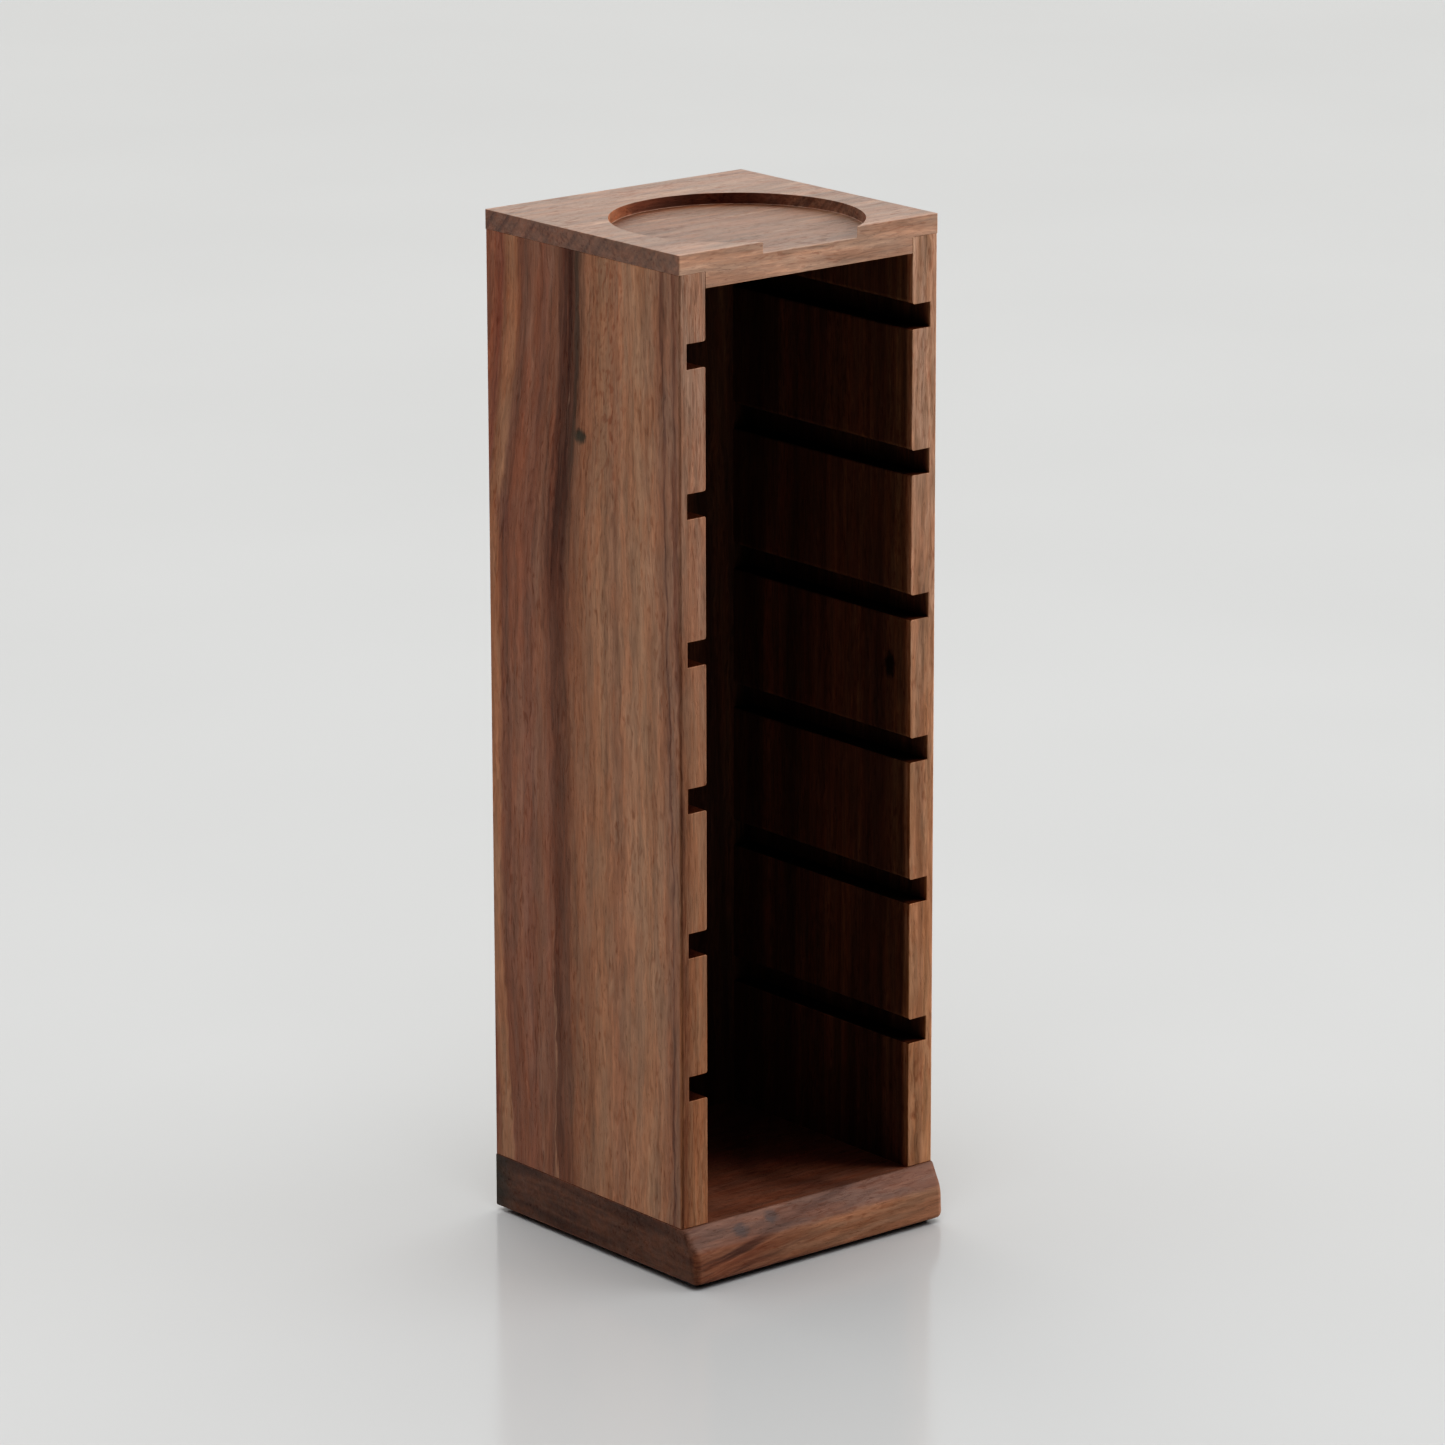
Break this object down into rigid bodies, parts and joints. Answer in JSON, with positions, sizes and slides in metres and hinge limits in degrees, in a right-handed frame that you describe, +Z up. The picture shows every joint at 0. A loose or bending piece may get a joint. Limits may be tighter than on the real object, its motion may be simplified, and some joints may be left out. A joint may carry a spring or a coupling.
{
  "type": "dip pen holder",
  "caption": "Open-fronted walnut desk tower with facing grooves for slide-in pen trays and a round seat in its top for an inkwell.",
  "frame": {"origin": "centre of the bounding box in plan, on the surface that the holder stands on", "axes": "+Z up along the tower, the open front and the base's nosing face -Y, +X towards the right side panel as seen from the front"},
  "size_m": [0.1, 0.0984, 0.318],
  "materials": {
    "walnut_side": "oiled walnut, grain running up",
    "walnut_top": "oiled walnut, grain running across",
    "walnut_base": "oiled dark walnut, grain running across",
    "dowel_beech": "plain beech dowel rod",
    "black_felt": "matt black felt"
  },
  "bodies": {
    "root": {"felt_pad": "black_felt", "base_board": "walnut_base", "left_side_panel": "walnut_side", "right_side_panel": "walnut_side", "back_panel": "walnut_side", "top_board": "walnut_top", "base_dowel_left_1": "dowel_beech", "base_dowel_left_2": "dowel_beech", "base_dowel_left_3": "dowel_beech", "base_dowel_right_1": "dowel_beech", "base_dowel_right_2": "dowel_beech", "base_dowel_right_3": "dowel_beech"}
  },
  "joints": []
}
